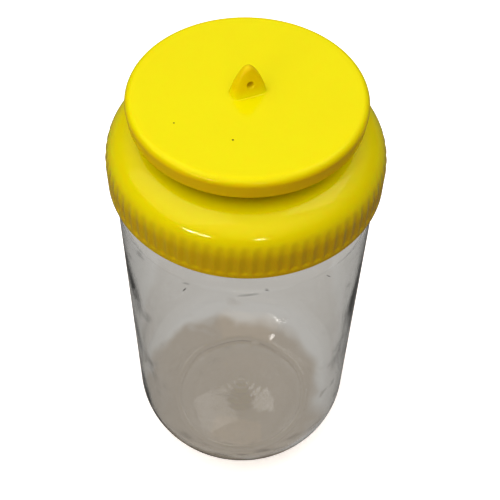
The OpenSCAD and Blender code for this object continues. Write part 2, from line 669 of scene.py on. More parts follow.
def revolved(
    name: str,
    profile: Profile,
    segments: int,
    closed: bool,
    shift: Shift | None = None,
    crease: float = 32.0,
) -> bpy.types.Object:
    """Turns a profile about the Z axis.

    A point at angle t is (r cos t, r sin t, z), with r changed by shift(t, row) where one is
    given. An open profile starts and ends on the axis and is closed there by fans.

    Args:
        name: name of the object.
        profile: (radius, height) rows in mm.
        segments: number of steps round the axis.
        closed: True for a loop, False for a line from axis to axis.
        shift: radial change in mm from the angles and the profile's points.
        crease: angle in degrees above which an edge stays sharp.

    Returns:
        The object.
    """
    body = profile if closed else profile[1:-1]
    t = np.linspace(0, 2 * math.pi, segments, endpoint=False)
    r = np.repeat(body[:, :1], segments, 1)
    if shift is not None:
        r = r + shift(t, body)
    z = np.repeat(body[:, 1:], segments, 1)
    points = np.stack([r * np.cos(t), r * np.sin(t), z], -1).reshape(-1, 3)
    if closed:
        return mesh_object(name, points, swept_faces(len(body), segments, True).tolist(), crease)
    points = np.vstack([points, [0, 0, profile[0, 1]], [0, 0, profile[-1, 1]]])
    return mesh_object(name, points, capped_faces(len(body), segments), crease)


class Join(Enum):
    """How a second solid changes the first."""

    ADD = "UNION"
    CUT = "DIFFERENCE"


def combine(
    base: bpy.types.Object, tool: bpy.types.Object, how: Join, crease: float = 32.0
) -> None:
    """Adds the tool to the base or cuts it away, then removes the tool.

    Args:
        base: the closed mesh that is changed.
        tool: the closed mesh that is used up.
        how: whether to add or cut.
        crease: angle in degrees above which an edge stays sharp.
    """
    step = base.modifiers.new(how.name.lower(), "BOOLEAN")
    step.operation = how.value
    step.solver = "MANIFOLD"
    step.object = tool
    depsgraph = bpy.context.evaluated_depsgraph_get()
    made = bpy.data.meshes.new_from_object(base.evaluated_get(depsgraph))
    base.modifiers.remove(step)
    base.data = made
    bpy.data.objects.remove(tool)
    made.shade_smooth()
    made.set_sharp_from_angle(angle=math.radians(crease))


def placed(obj: bpy.types.Object, matrix: Matrix) -> bpy.types.Object:
    """Moves the vertices of an object, so that the object itself stays at the origin.

    Args:
        obj: the object.
        matrix: the move, with its lengths in mm.

    Returns:
        The same object.
    """
    scaled = matrix.copy()
    scaled.translation = matrix.translation * MM
    obj.data.transform(scaled)
    return obj


def dressed(
    obj: bpy.types.Object, material: bpy.types.Material, body: str, node: str
) -> bpy.types.Object:
    """Gives a piece its material and body, and lets it stand for a CAD node.

    Args:
        obj: the finished piece.
        material: its material.
        body: the body that it rides on.
        node: the CAD node that it replaces.

    Returns:
        The piece.
    """
    obj.data.materials.clear()
    obj.data.materials.append(material)
    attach(obj, body)
    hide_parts(node)
    return obj


@dataclass(frozen=True)
class Thread:
    """A screw thread of several starts: rounded ridges that climb along helices."""

    height: float
    turn: float
    reach: float
    first: float = 3.3
    lead: float = 12.0
    starts: int = 3
    half_width: float = 1.05
    flank: float = 0.5
    ends: float = 7.0

    def ridges(self, t: np.ndarray, z: np.ndarray) -> np.ndarray:
        """Height of the ridges over the wall.

        A ridge is a rounded flat-topped bump in the distance from its helix, and it fades
        in and out over a seventh of its length.

        Args:
            t: angles round the axis in radians.
            z: heights as a column.

        Returns:
            An array in mm with a row per height and a column per angle.
        """
        height = np.zeros((len(z), len(t)))
        for start in range(self.starts):
            first = math.radians(self.first + 360 * start / self.starts)
            along = np.degrees((t - first) % (2 * math.pi))[None, :]
            share = along / self.turn
            fade = ease(share * self.ends) * ease((1 - share) * self.ends)
            off = np.abs(z - self.height - self.lead * along / 360)
            height = np.maximum(height, fade * ease((self.half_width - off) / self.flank))
        return height * self.reach


# ---------------------------------------------------------------- jar


@dataclass
class Jar:
    """Clear blown jar: rounded heel, raised base, straight wall and threaded neck."""

    radius: float
    rim: float
    wall: float = 1.0
    heel_radius: float = 29.0
    toe_radius: float = 2.5
    heel_turn: float = 42.0
    foot_run: float = 11.8
    foot_flat: float = 1.2
    dome_turn: float = 42.0
    neck_radius: float = 49.8
    neck_wall: float = 1.8
    neck_base: float = 174.0
    neck_curve: float = 10.0
    rim_round: float = 0.6
    thread: Thread = Thread(height=180.1, turn=200.0, reach=1.8)
    ripple: float = 0.16
    ripple_gap: float = 3.4
    ripple_reach: float = 12.0
    gate: float = 0.6
    gate_radius: float = 1.3
    seam: float = 0.07
    wall_wave: float = 0.05
    heel_wave: float = 0.28
    segments: int = 288

    def face(self, inset: float, neck_inset: float) -> Profile:
        """One face of the wall from the base's centre to the neck.

        The base is a dome with fine rings, the foot two arcs with a flat ring between
        them, the heel an arc, and the shoulder half a cosine wave.

        Args:
            inset: distance of this face from the outer one, on body and base.
            neck_inset: the same on the neck.

        Returns:
            (radius, height) rows.
        """
        turn = math.radians(self.heel_turn)
        reach = self.heel_radius - self.toe_radius
        stand = (
            self.radius
            - self.heel_radius
            + reach * math.cos(turn)
            - self.foot_run * math.sin(turn)
        )
        heel_z = self.toe_radius + reach * math.sin(turn) + self.foot_run * math.cos(turn)
        toe = self.toe_radius - inset
        inner = (stand - self.foot_flat, self.toe_radius)
        foot_in = arc(inner, toe, -90 - self.dome_turn, -90, 10)
        dome_turn = math.radians(self.dome_turn)
        dome_r = inner[0] / math.sin(dome_turn) - self.toe_radius
        dome_z = self.toe_radius - (self.toe_radius + dome_r) * math.cos(dome_turn)
        base = arc((0, dome_z), dome_r + inset, 90, 90 - self.dome_turn, 52)
        base[0, 0] = 0
        base[:, 1] += self.rings(base[:, 0])
        u = np.linspace(0, 1, 16)
        wave = (1 - np.cos(math.pi * u)) / 2
        body_r, neck_r = self.radius - inset, self.neck_radius - neck_inset
        shoulder = np.stack(
            [body_r + (neck_r - body_r) * wave, self.neck_base + self.neck_curve * (u - 1)], 1
        )
        return joined(
            base,
            foot_in,
            arc((stand, self.toe_radius), toe, -90, -self.heel_turn, 8),
            line(
                (
                    stand + toe * math.cos(turn),
                    self.toe_radius - toe * math.sin(turn),
                ),
                (
                    self.radius - self.heel_radius + (self.heel_radius - inset) * math.cos(turn),
                    heel_z - (self.heel_radius - inset) * math.sin(turn),
                ),
                8,
            ),
            arc(
                (self.radius - self.heel_radius, heel_z),
                self.heel_radius - inset,
                -self.heel_turn,
                0,
                20,
            ),
            line((body_r, heel_z), (body_r, self.neck_base - self.neck_curve), 26),
            shoulder,
        )

    def rings(self, r: np.ndarray) -> np.ndarray:
        """Fine rings and the gate's nub on the base: a fading cosine plus a small bell."""
        fade = self.ripple * np.exp(-((r / self.ripple_reach) ** 2))
        nub = self.gate * np.exp(-((r / self.gate_radius) ** 2))
        return fade * np.cos(2 * math.pi * r / self.ripple_gap) + nub - self.ripple

    def outer_relief(self, t: np.ndarray, points: Profile) -> np.ndarray:
        """Radial height of the thread's ridges and of the mould's parting line.

        The parting line is a bell curve in the distance from the plane through the axis.

        Args:
            t: angles round the axis in radians.
            points: (radius, height) rows.

        Returns:
            An array in mm with a row per point and a column per angle.
        """
        r, z = points[:, :1], points[:, 1:]
        on_neck = (r > self.neck_radius - 0.2) & (z > self.neck_base)
        on_wall = (r > self.radius - 0.2) & (z < self.neck_base)
        line_height = self.seam * np.exp(-((np.sin(t) * r / 0.25) ** 2))
        return np.where(on_neck, self.thread.ridges(t, z), np.where(on_wall, line_height, 0.0))

    def unevenness(self, t: np.ndarray, points: Profile) -> np.ndarray:
        """Waves in the wall's thickness, on its inner face.

        Along the wall they are slow products of sines, and in the heel, where the blown
        plastic chills first, shorter ones under a bell curve in the height.

        Args:
            t: angles round the axis in radians.
            points: (radius, height) rows.

        Returns:
            An array in mm with a row per point and a column per angle.
        """
        z = points[:, 1:]
        r = points[:, :1]
        inside = np.arange(len(points))[:, None] > len(points) / 2
        on_wall = inside & (r > self.radius - 3) & (z < 168)
        wave = (
            np.sin(3 * t + z / 21) * np.sin(z / 13)
            + 0.6 * np.sin(7 * t - z / 17)
            + 0.4 * np.sin(11 * t + z / 9) * np.sin(z / 31)
        )
        heel = inside & (r > 37) & (z < self.heel_radius)
        chill = (
            np.sin(5 * t + 0.8) + 0.7 * np.sin(9 * t + z / 4) + 0.5 * np.sin(17 * t - z / 3)
        ) * np.exp(-(((z - 9) / 5) ** 2))
        wall_part = np.where(on_wall, self.wall_wave * wave, 0.0)
        return wall_part + np.where(heel, self.heel_wave * chill, 0.0)

    def build(self, finish: BlownPet) -> bpy.types.Object:
        """Builds the jar as one closed wall.

        Args:
            finish: its finish.

        Returns:
            The jar.
        """
        outside = self.face(0, 0)
        inside = self.face(self.wall, self.neck_wall)
        lip = self.rim - self.rim_round
        neck = line((self.neck_radius, self.neck_base), (self.neck_radius, lip), 46)
        inner_r = self.neck_radius - self.neck_wall
        profile = joined(
            outside,
            neck,
            arc((self.neck_radius - self.rim_round, lip), self.rim_round, 0, 90, 5),
            arc((inner_r + self.rim_round, lip), self.rim_round, 90, 180, 5),
            line((inner_r, lip), (inner_r, self.neck_base), 6),
            inside[::-1],
        )
        obj = revolved(
            "jar_wall",
            profile,
            self.segments,
            False,
            lambda t, p: self.outer_relief(t, p) + self.unevenness(t, p),
            crease=50,
        )
        return dressed(obj, finish.build(), "jar", "jar")


# ---------------------------------------------------------------- seal


@dataclass
class SealRing:
    """Flat foam ring with softly rounded edges, between the jar's rim and the lid."""

    outer: float
    bottom: float
    top: float
    inner: float = 46.6
    edge: float = 0.35

    def build(self, finish: FoamSheet) -> bpy.types.Object:
        """Builds the ring.

        Args:
            finish: its finish.

        Returns:
            The ring.
        """
        e = self.edge
        profile = joined(
            arc((self.outer - e, self.bottom + e), e, -90, 0, 4),
            arc((self.outer - e, self.top - e), e, 0, 90, 4),
            arc((self.inner + e, self.top - e), e, 90, 180, 4),
            arc((self.inner + e, self.bottom + e), e, 180, 270, 4),
        )
        obj = revolved("foam_seal", profile, 192, True)
        return dressed(obj, finish.build(), "seal", "lid_seal")


# ---------------------------------------------------------------- lid


@dataclass
class LegPlan:
    """Where the roof's legs stand, and the sizes that lid and roof share there."""

    count: int = 3
    place: float = 33.5
    first: float = 90.0
    boss_top: float = 202.0
    boss_bottom: float = 194.2
    boss_radius: float = 4.0
    peg_radius: float = 2.5
    peg_gap: float = 0.05
    leg_radius: float = 3.5

    def frames(self) -> list[Matrix]:
        """Matrices that carry a piece from the axis to each leg, turned with it."""
        return [
            Matrix.Rotation(math.radians(self.first + 360 * i / self.count), 4, "Z")
            @ Matrix.Translation((self.place, 0, 0))
            for i in range(self.count)
        ]


@dataclass
class ScrewLid:
    """Ribbed screw lid: skirt, broad rounded shoulder, and a dish down to the funnel."""

    radius: float
    bottom: float
    legs: LegPlan
    skirt_inner: float = 52.9
    shoulder: float = 15.2
    shell: float = 2.1
    ribs: int = 75
    rib_depth: float = 0.5
    rib_steps: int = 8
    band: float = 2.2
    wall_height: float = 10.3
    dish_slope: float = 28.0
    dish_round: float = 8.0
    seat_radius: float = 29.0
    seat_floor: float = 25.5
    seat_depth: float = 6.2
    land_height: float = 15.9
    land_inner: float = 47.2
    land_outer: float = 51.0
    edge: float = 0.4
    thread: Thread = Thread(height=178.1, turn=120.0, reach=2.2)

    @property
    def wall_top(self) -> float:
        """Height where the straight skirt ends."""
        return self.bottom + self.wall_height

    @property
    def crest(self) -> tuple[float, float]:
        """Radius and height of the lid's highest circle."""
        return self.radius - self.shoulder, self.wall_top + self.shoulder

    def profile(self) -> Profile:
        """The lid's section as a loop, from the skirt's edge over the top and back inside.

        Returns:
            (radius, height) rows.
        """
        crest_r, crest_z = self.crest
        e = self.edge
        slope = math.radians(self.dish_slope)
        dish = (crest_r, crest_z - self.dish_round)
        end_r = crest_r - self.dish_round * math.sin(slope)
        end_z = crest_z - self.dish_round * (1 - math.cos(slope))
        seat_z = crest_z - self.seat_depth
        foot_z = self.legs.boss_bottom
        seat_top = end_z - (end_r - self.seat_radius) * math.tan(slope)
        land_z = self.bottom + self.land_height
        inner = self.shoulder - self.shell
        inner_arc = arc((crest_r, self.wall_top), inner, 92, 0, 40)
        inside_land = inner_arc[inner_arc[:, 0] < self.land_inner]
        outside_land = inner_arc[inner_arc[:, 0] > self.land_outer]
        return joined(
            arc((self.radius - e, self.bottom + e), e, -90, 0, 4),
            line((self.radius, self.bottom + 0.8), (self.radius, self.bottom + self.band + 2), 14),
            line((self.radius, self.bottom + self.band + 3), (self.radius, self.wall_top), 4),
            arc((crest_r, self.wall_top), self.shoulder, 0, 90, 30),
            arc(dish, self.dish_round, 90, 90 + self.dish_slope, 6),
            line((end_r, end_z), (self.seat_radius + 0.4, seat_top + 0.2), 4),
            np.array(
                [
                    (self.seat_radius, seat_top - 0.2),
                    (self.seat_radius, seat_z),
                    (self.seat_floor, seat_z),
                    (self.seat_floor, foot_z),
                    (self.seat_radius + 1.5, foot_z),
                    (end_r + 0.9, end_z - self.shell * 0.9),
                ]
            ),
            inside_land,
            np.array([(self.land_inner, land_z), (self.land_outer, land_z)]),
            outside_land,
            line((self.skirt_inner, self.wall_top), (self.skirt_inner, self.bottom + 0.3), 40),
            np.array([(self.skirt_inner + 0.3, self.bottom)]),
        )

    def relief(self, t: np.ndarray, points: Profile) -> np.ndarray:
        """Radial relief: grip ribs outside, thread ridges inside.

        A groove's depth is a raised cosine in the angle. It starts above the plain band and
        eases out as the shoulder curves in. The thread points inwards and follows the
        jar's helix a little lower.

        Args:
            t: angles round the axis in radians.
            points: (radius, height) rows.

        Returns:
            An array in mm with a row per point and a column per angle.
        """
        r, z = points[:, :1], points[:, 1:]
        wave = (0.5 - 0.5 * np.cos(self.ribs * t)) ** 0.8
        start = ease((z - self.bottom - self.band + 0.6) / 2.0)
        runout = 1 - ease((self.radius - r) / 1.5)
        groove = self.rib_depth * wave[None, :] * runout * start
        on_skirt = (r > self.radius - 2.0) & (z > self.bottom + 0.5)
        on_inside = (np.abs(r - self.skirt_inner) < 0.01) & (z < self.wall_top)
        inward = np.where(on_inside, -self.thread.ridges(t, z), 0.0)
        return np.where(on_skirt, -groove, inward)

    def build(self, finish: MouldedPolypropylene) -> bpy.types.Object:
        """Builds the lid with its bosses and sockets.

        Args:
            finish: its finish.

        Returns:
            The lid.
        """
        obj = revolved(
            "lid_shell", self.profile(), self.ribs * self.rib_steps, True, self.relief, crease=40
        )
        plan = self.legs
        e = self.edge
        for at_leg in plan.frames():
            boss = joined(
                np.array([(0, plan.boss_bottom), (plan.boss_radius, plan.boss_bottom)]),
                arc((plan.boss_radius - e, plan.boss_top - e), e, 0, 90, 4),
                np.array([(0, plan.boss_top)]),
            )
            combine(obj, placed(revolved("boss", boss, 48, False), at_leg), Join.ADD, 40)
        for at_leg in plan.frames():
            hole_r = plan.peg_radius + plan.peg_gap
            low, high = plan.boss_bottom - 2, plan.boss_top + 2
            hole = np.array([(0, low), (hole_r, low), (hole_r, high), (0, high)])
            combine(obj, placed(revolved("socket", hole, 48, False), at_leg), Join.CUT, 40)
        return dressed(obj, finish.build(), "lid", "screw_lid")


# ---------------------------------------------------------------- funnel


@dataclass
class EntryFunnel:
    """Cone that drops from its flange in the lid to a narrow throat inside the jar."""

    flange_radius: float
    throat_z: float
    flange_top: float
    flange: float = 1.5
    cone_top: float = 25.1
    wall: float = 1.4
    throat: float = 9.0
    collar: float = 4.0
    edge: float = 0.35
    mouth_round: float = 1.2
    throat_round: float = 0.7

    def build(self, finish: MouldedPolypropylene) -> bpy.types.Object:
        """Builds the funnel as one closed loop turned about the axis.

        Args:
            finish: its finish.

        Returns:
            The funnel.
        """
        seat = self.flange_top - self.flange
        inner_top = self.cone_top - self.wall
        outer_throat = self.throat + self.wall
        collar_top = self.throat_z + self.collar
        e, bend, tip = self.edge, self.mouth_round, self.throat_round
        profile = joined(
            arc((self.flange_radius - e, seat + e), e, -90, 0, 3),
            arc((self.flange_radius - e, self.flange_top - e), e, 0, 90, 3),
            arc((inner_top + bend, self.flange_top - bend), bend, 90, 160, 6),
            line((inner_top, seat - 1.0), (self.throat + 0.3, collar_top + 1), 12),
            line((self.throat, collar_top), (self.throat, self.throat_z + tip), 3),
            arc((self.throat + tip, self.throat_z + tip), tip, 180, 360, 8),
            line((outer_throat, collar_top), (self.cone_top, seat - 1.5), 12),
            np.array([(self.cone_top, seat)]),
        )
        obj = revolved("funnel_cone", profile, 192, True)
        return dressed(obj, finish.build(), "lid", "entry_funnel")


# ---------------------------------------------------------------- roof


@dataclass
class HangingLug:
    """Fin with a round tip and a hole, standing on the middle of the roof."""

    foot: float
    height: float
    half_width: float = 6.7
    half_thick: float = 3.5
    tip_half_thick: float = 1.5
    side_bow: float = 1.35
    side_power: float = 0.6
    foot_power: float = 4.2
    tip_power: float = 2.3
    tip_from: float = 0.86
    flare: float = 0.35
    sink: float = 0.6
    hole: float = 1.3
    hole_height: float = 5.1
    hole_bevel: float = 0.12
    turn: float = 24.0
    rings: int = 46
    columns: int = 64

    def fin(self) -> bpy.types.Object:
        """Builds the fin as a loft of rounded rectangles that shrink to a round tip.

        A ring is a superellipse, nearly square at the foot. Its half width falls as one
        less the height's share to the bow's power, all to the side's power; its half
        thickness falls evenly and closes with the tip. A quarter circle widens the foot.

        Returns:
            The fin without its hole, about the axis and with its foot at height 0.
        """
        share = np.sin(np.linspace(0, 0.5, self.rings)[:-1] * math.pi) ** 1.2
        h = share * self.height
        drop = np.maximum(0, self.flare**2 - (self.flare - h) ** 2)
        flare = np.where(h < self.flare, self.flare - np.sqrt(drop), 0)
        width = self.half_width * (1 - share**self.side_bow) ** self.side_power + flare
        past = np.clip((share - self.tip_from) / (1 - self.tip_from), 0, 1)
        even = self.half_thick + (self.tip_half_thick - self.half_thick) * share**0.9
        thick = even * np.sqrt(np.clip(1 - past**2, 0, 1)) + flare
        power = 2 / (self.foot_power + (self.tip_power - self.foot_power) * share[:, None])
        a = np.linspace(0, 2 * math.pi, self.columns, endpoint=False)
        c, s = np.cos(a), np.sin(a)
        x = width[:, None] * np.sign(c) * np.abs(c)[None] ** power
        y = thick[:, None] * np.sign(s) * np.abs(s)[None] ** power
        z = np.repeat(h[:, None], self.columns, 1)
        sunk = np.stack([x[0], y[0], z[0] - self.sink], -1)[None]
        body = np.concatenate([sunk, np.stack([x, y, z], -1)])
        poles = [[0, 0, -self.sink], [0, 0, self.height]]
        points = np.vstack([body.reshape(-1, 3), poles])
        return mesh_object("lug", points, capped_faces(len(body), self.columns), 60)

    def build(self) -> bpy.types.Object:
        """Builds the fin, cuts its bevelled hole, and sets it on the roof.

        Returns:
            The lug, without a material.
        """
        obj = self.fin()
        share = self.hole_height / self.height
        mouth = self.half_thick + (self.tip_half_thick - self.half_thick) * share - 0.2
        end, wide = mouth + 2.5, self.hole + 2.5
        brim = self.hole + self.hole_bevel
        half = [(self.hole, mouth - 0.2), (brim, mouth), (wide, end), (0, end)]
        spool = np.array([(r, -z) for r, z in half[::-1]] + half)
        upright = Matrix.Translation((0, 0, self.hole_height))
        cutter = placed(
            revolved("hole", spool, 40, False), upright @ Matrix.Rotation(math.pi / 2, 4, "X")
        )
        combine(obj, cutter, Join.CUT, 60)
        turned = Matrix.Rotation(math.radians(self.turn), 4, "Z")
        return placed(obj, Matrix.Translation((0, 0, self.foot)) @ turned)


@dataclass
class RainRoof:
    """Round roof with a turned-down lip, legs with snap pegs, and the hanging lug."""

    radius: float
    peak: float
    legs: LegPlan
    lug_height: float = 12.1
    lip: float = 8.7
    edge: float = 3.0
    plate: float = 2.0
    lip_wall: float = 1.9
    taper: float = 0.5
    fillet: float = 1.8
    lip_edge: float = 0.5
    web: float = 1.4
    hub_radius: float = 6.0
    hub_depth: float = 3.0
    overlap: float = 0.5

    @property
    def top(self) -> float:
        """Height of the plate's top face."""
        return self.peak - self.lug_height

    def profile(self) -> Profile:
        """Section of the plate and its lip, from the top's centre round to the underside.

        Returns:
            (radius, height) rows.
        """
        low = self.top - self.lip
        under = self.top - self.plate
        e, fillet = self.lip_edge, self.fillet
        low_r = self.radius - self.taper
        inner = self.radius - self.lip_wall - 0.3
        return joined(
            line((0, self.top), (self.radius - self.edge, self.top), 30),
            arc((self.radius - self.edge, self.top - self.edge), self.edge, 90, 0, 16),
            line((self.radius, self.top - self.edge), (low_r, low + e), 6),
            arc((low_r - e, low + e), e, 0, -90, 5),
            arc((inner + e, low + e), e, 270, 180, 5),
            line((inner, low + e), (self.radius - self.lip_wall, under - fillet), 4),
            arc((self.radius - self.lip_wall - fillet, under - fillet), fillet, 0, 90, 8),
            line((self.radius - self.lip_wall - fillet, under), (0, under), 20),
        )

    def build(self, finish: MouldedPolypropylene) -> bpy.types.Object:
        """Builds the roof with its lug, hub, webs, legs and pegs.

        Args:
            finish: its finish.

        Returns:
            The roof.
        """
        obj = revolved("roof_cover", self.profile(), 256, False, crease=40)
        plan = self.legs
        under = self.top - self.plate
        inside, hub_z = under + self.overlap, under - self.hub_depth
        hub = np.array(
            [(0, hub_z), (self.hub_radius, hub_z), (self.hub_radius, inside), (0, inside)]
        )
        combine(obj, revolved("hub", hub, 64, False), Join.ADD, 40)
        tip = plan.boss_bottom
        leg = joined(
            np.array([(0, tip), (plan.peg_radius - 0.7, tip), (plan.peg_radius, tip + 1.0)]),
            np.array([(plan.peg_radius, plan.boss_top), (plan.leg_radius, plan.boss_top)]),
            line((plan.leg_radius, plan.boss_top), (plan.leg_radius, under - 1.5), 2),
            arc((plan.leg_radius + 1.5, under - 1.5), 1.5, 180, 90, 5),
            np.array([(plan.leg_radius + 1.5, inside), (0, inside)]),
        )
        for at_leg in plan.frames():
            web = self.web_solid(plan.place, hub_z, inside)
            combine(obj, placed(web, at_leg), Join.ADD, 40)
            combine(obj, placed(revolved("leg", leg, 48, False), at_leg), Join.ADD, 40)
        lug = HangingLug(foot=self.top, height=self.lug_height).build()
        combine(obj, lug, Join.ADD, 40)
        return dressed(obj, finish.build(), "roof", "rain_roof")

    def web_solid(self, place: float, low: float, high: float) -> bpy.types.Object:
        """One stiffening web from the hub past a leg: a thin bar that tapers downwards.

        Args:
            place: distance of the leg from the axis.
            low: height of its lower face.
            high: height of its upper face.

        Returns:
            The web, with the leg's axis at the origin.
        """
        start, end = 2 - place, 8.5
        half = self.web / 2
        x = np.array([start, end, end, start] * 2)
        y = np.array([-1, -1, 1, 1] * 2) * np.repeat([half * 0.7, half], 4)
        z = np.repeat([low, high], 4)
        faces = [(3, 2, 1, 0), (4, 5, 6, 7), (0, 1, 5, 4), (1, 2, 6, 5), (2, 3, 7, 6), (3, 0, 4, 7)]
        return mesh_object("web", np.stack([x, y, z], 1), faces)


# ---------------------------------------------------------------- studio


@dataclass(frozen=True)
class Panel:
    """A rectangular light: direction from the trap in degrees, distance, size and power."""

    name: str
    azimuth: float
    elevation: float
    distance: float
    size: tuple[float, float]
    power: float
    colour: str = "#FFFFFF"


@dataclass
class Studio:
    """Pale floor, soft light from above, small window lights in front, and the camera.

    The floor and the backdrop are plain white to the camera. Rays that have passed through
    the clear jar, mirrored rays and bounced rays meet a warm grey table top instead. Seen
    through the jar and in mirrors it is darker brown under the jar: a painted shadow.
    """

    aim_height: float = 0.12449
    camera_distance: float = 0.41170
    camera_elevation: float = 51.52
    camera_side: float = 0.002625
    camera_roll: float = 1.704
    focal: float = 66.45
    floor_radius: float = 12.0
    floor_lift: float = 0.44
    # Painted shadow: the table seen through the jar is darker within a ragged circle under it
    painted_shadow_tone: str = "#A0978B"
    far_tone: str = "#BAB8B4"
    bounce_tone: str = "#74501E"
    painted_shadow_centre: tuple[float, float, float] = (-0.006, -0.003, 0.0)
    painted_shadow_reach: tuple[float, float] = (0.057, 0.065)
    zenith_light: float = 0.92
    horizon_light: float = 0.07
    horizon_colour: str = "#E09A4C"
    mirrored_light: float = 0.3
    contrast: float = 0.78
    panels: tuple[Panel, ...] = (
        Panel("window_left", -33, 18, 1.5, (0.5, 0.035), 2.9),
        Panel("window_right", 12, 22, 1.5, (0.16, 0.022), 0.9),
        Panel("ceiling_left", -75, 52, 1.6, (1.7, 1.7), 6.4),
        Panel("ceiling_right", 100, 60, 1.6, (0.8, 0.8), 2.4),
        Panel("front_fill", -6, 42, 1.5, (2.0, 1.2), 3.0, "#FFD084"),
    )

    def build(self) -> None:
        """Builds floor, world, lights and camera."""
        self._floor()
        self._world()
        for panel in self.panels:
            self._light(panel)
        self._camera()
        settings = bpy.context.scene.view_settings
        settings.view_transform = "Standard"
        settings.gamma = self.contrast

    def _floor(self) -> None:
        """A large disc that looks plain white, bounces light like a grey table top, and shows a
        painted shadow under the jar to rays through the jar and mirrored rays.
        """
        t = np.linspace(0, 2 * math.pi, 96, endpoint=False)
        rim = self.floor_radius / MM
        points = np.stack([rim * np.cos(t), rim * np.sin(t), 0 * t - 0.05], 1)
        mesh = bpy.data.meshes.new("floor")
        mesh.from_pydata((points * MM).tolist(), [], [list(range(96))])
        floor = bpy.data.objects.new("floor", mesh)
        bpy.context.scene.collection.objects.link(floor)
        material, tree = new_material("floor_paper")
        path = add_node(tree, "ShaderNodeLightPath")
        place = add_node(tree, "ShaderNodeTexCoord").outputs["Object"]
        # Painted shadow: the distance from the jar picks the darker tone under it
        out = add_node(
            tree, "ShaderNodeVectorMath", {"operation": "DISTANCE"}, {0: place, 1: self.painted_shadow_centre}
        )
        drift = add_node(
            tree, "ShaderNodeTexNoise", inputs={"Vector": place, "Scale": 38.0, "Detail": 2.0}
        )
        edge = add_node(
            tree,
            "ShaderNodeMath",
            {"operation": "MULTIPLY_ADD"},
            {0: drift.outputs["Fac"], 1: 0.02, 2: out.outputs["Value"]},
        )
        reach = add_node(
            tree,
            "ShaderNodeMapRange",
            {"interpolation_type": "SMOOTHSTEP"},
            {
                "Value": edge.outputs[0],
                "From Min": self.painted_shadow_reach[0],
                "From Max": self.painted_shadow_reach[1],
            },
        )
        tone = add_node(
            tree,
            "ShaderNodeMix",
            {"data_type": "RGBA"},
            {
                MIX_SHARE: reach.outputs["Result"],
                MIX_FIRST: linear(self.painted_shadow_tone),
                MIX_SECOND: linear(self.far_tone),
            },
        )
        lit = add_node(tree, "ShaderNodeBsdfDiffuse", inputs={"Color": linear("#FFFFFF")})
        lift = add_node(
            tree,
            "ShaderNodeEmission",
            inputs={"Color": linear("#FFFFFF"), "Strength": self.floor_lift},
        )
        seen = add_node(tree, "ShaderNodeAddShader", inputs={0: lit.outputs[0], 1: lift.outputs[0]})
        bounce = add_node(tree, "ShaderNodeBsdfDiffuse", inputs={"Color": linear(self.bounce_tone)})
        level = add_node(
            tree,
            "ShaderNodeMapRange",
            inputs={"Value": path.outputs["Is Transmission Ray"], "To Min": 0.4, "To Max": 1.17},
        )
        through = add_node(
            tree,
            "ShaderNodeEmission",
            inputs={"Color": tone.outputs[MIX_COLOUR], "Strength": level.outputs["Result"]},
        )
        hidden = add_node(
            tree,
            "ShaderNodeMixShader",
            inputs={
                0: path.outputs["Is Diffuse Ray"],
                1: through.outputs[0],
                2: bounce.outputs[0],
            },
        )
        mixed = add_node(
            tree,
            "ShaderNodeMixShader",
            inputs={0: path.outputs["Is Camera Ray"], 1: hidden.outputs[0], 2: seen.outputs[0]},
        )
        add_node(tree, "ShaderNodeOutputMaterial", inputs={"Surface": mixed.outputs[0]})
        mesh.materials.append(material)

    def _world(self) -> None:
        """Light that is strong from above and weak at the horizon, on a plain pale backdrop."""
        world = bpy.data.worlds.new("studio")
        world.use_nodes = True
        tree = world.node_tree
        tree.nodes.clear()
        direction = add_node(tree, "ShaderNodeTexCoord").outputs["Generated"]
        up = add_node(tree, "ShaderNodeSeparateXYZ", inputs={0: direction}).outputs["Z"]
        strength = add_node(
            tree,
            "ShaderNodeMapRange",
            {"interpolation_type": "SMOOTHSTEP"},
            {
                "Value": up,
                "From Min": 0.0,
                "From Max": 0.8,
                "To Min": self.horizon_light,
                "To Max": self.zenith_light,
            },
        )
        path = add_node(tree, "ShaderNodeLightPath")
        mirrored = add_node(
            tree,
            "ShaderNodeMath",
            {"operation": "MULTIPLY"},
            {0: path.outputs["Is Glossy Ray"], 1: self.mirrored_light},
        )
        level = add_node(
            tree,
            "ShaderNodeMath",
            {"operation": "MAXIMUM"},
            {0: strength.outputs["Result"], 1: mirrored.outputs[0]},
        )
        warmth = add_node(
            tree,
            "ShaderNodeMix",
            {"data_type": "RGBA"},
            {
                MIX_SHARE: level.outputs[0],
                MIX_FIRST: linear(self.horizon_colour),
                MIX_SECOND: linear("#FFFFFF"),
            },
        )
        dome = add_node(
            tree,
            "ShaderNodeBackground",
            inputs={"Color": warmth.outputs[MIX_COLOUR], "Strength": level.outputs[0]},
        )
        seen_through = add_node(
            tree, "ShaderNodeBackground", inputs={"Color": linear("#B8B5B0"), "Strength": 1.2}
        )
        backdrop = add_node(
            tree, "ShaderNodeBackground", inputs={"Color": linear("#FFFFFF"), "Strength": 1.1}
        )
        hidden = add_node(
            tree,
            "ShaderNodeMixShader",
            inputs={
                0: path.outputs["Is Transmission Ray"],
                1: dome.outputs[0],
                2: seen_through.outputs[0],
            },
        )
        mixed = add_node(
            tree,
            "ShaderNodeMixShader",
            inputs={0: path.outputs["Is Camera Ray"], 1: hidden.outputs[0], 2: backdrop.outputs[0]},
        )
        add_node(tree, "ShaderNodeOutputWorld", inputs={"Surface": mixed.outputs[0]})
        bpy.context.scene.world = world

    def _light(self, panel: Panel) -> None:
        """Adds one rectangular light that faces the trap.

        Args:
            panel: the light's place, size, power and colour.
        """
        data = bpy.data.lights.new(panel.name, "AREA")
        data.shape = "RECTANGLE"
        data.size, data.size_y = panel.size
        data.energy = panel.power
        data.color = linear(panel.colour)[:3]
        a, e = math.radians(panel.azimuth), math.radians(panel.elevation)
        back = Vector((math.sin(a) * math.cos(e), -math.cos(a) * math.cos(e), math.sin(e)))
        light = bpy.data.objects.new(panel.name, data)
        light.location = Vector((0, 0, self.aim_height)) + back * panel.distance
        light.rotation_euler = (-back).to_track_quat("-Z", "Y").to_euler()
        bpy.context.scene.collection.objects.link(light)

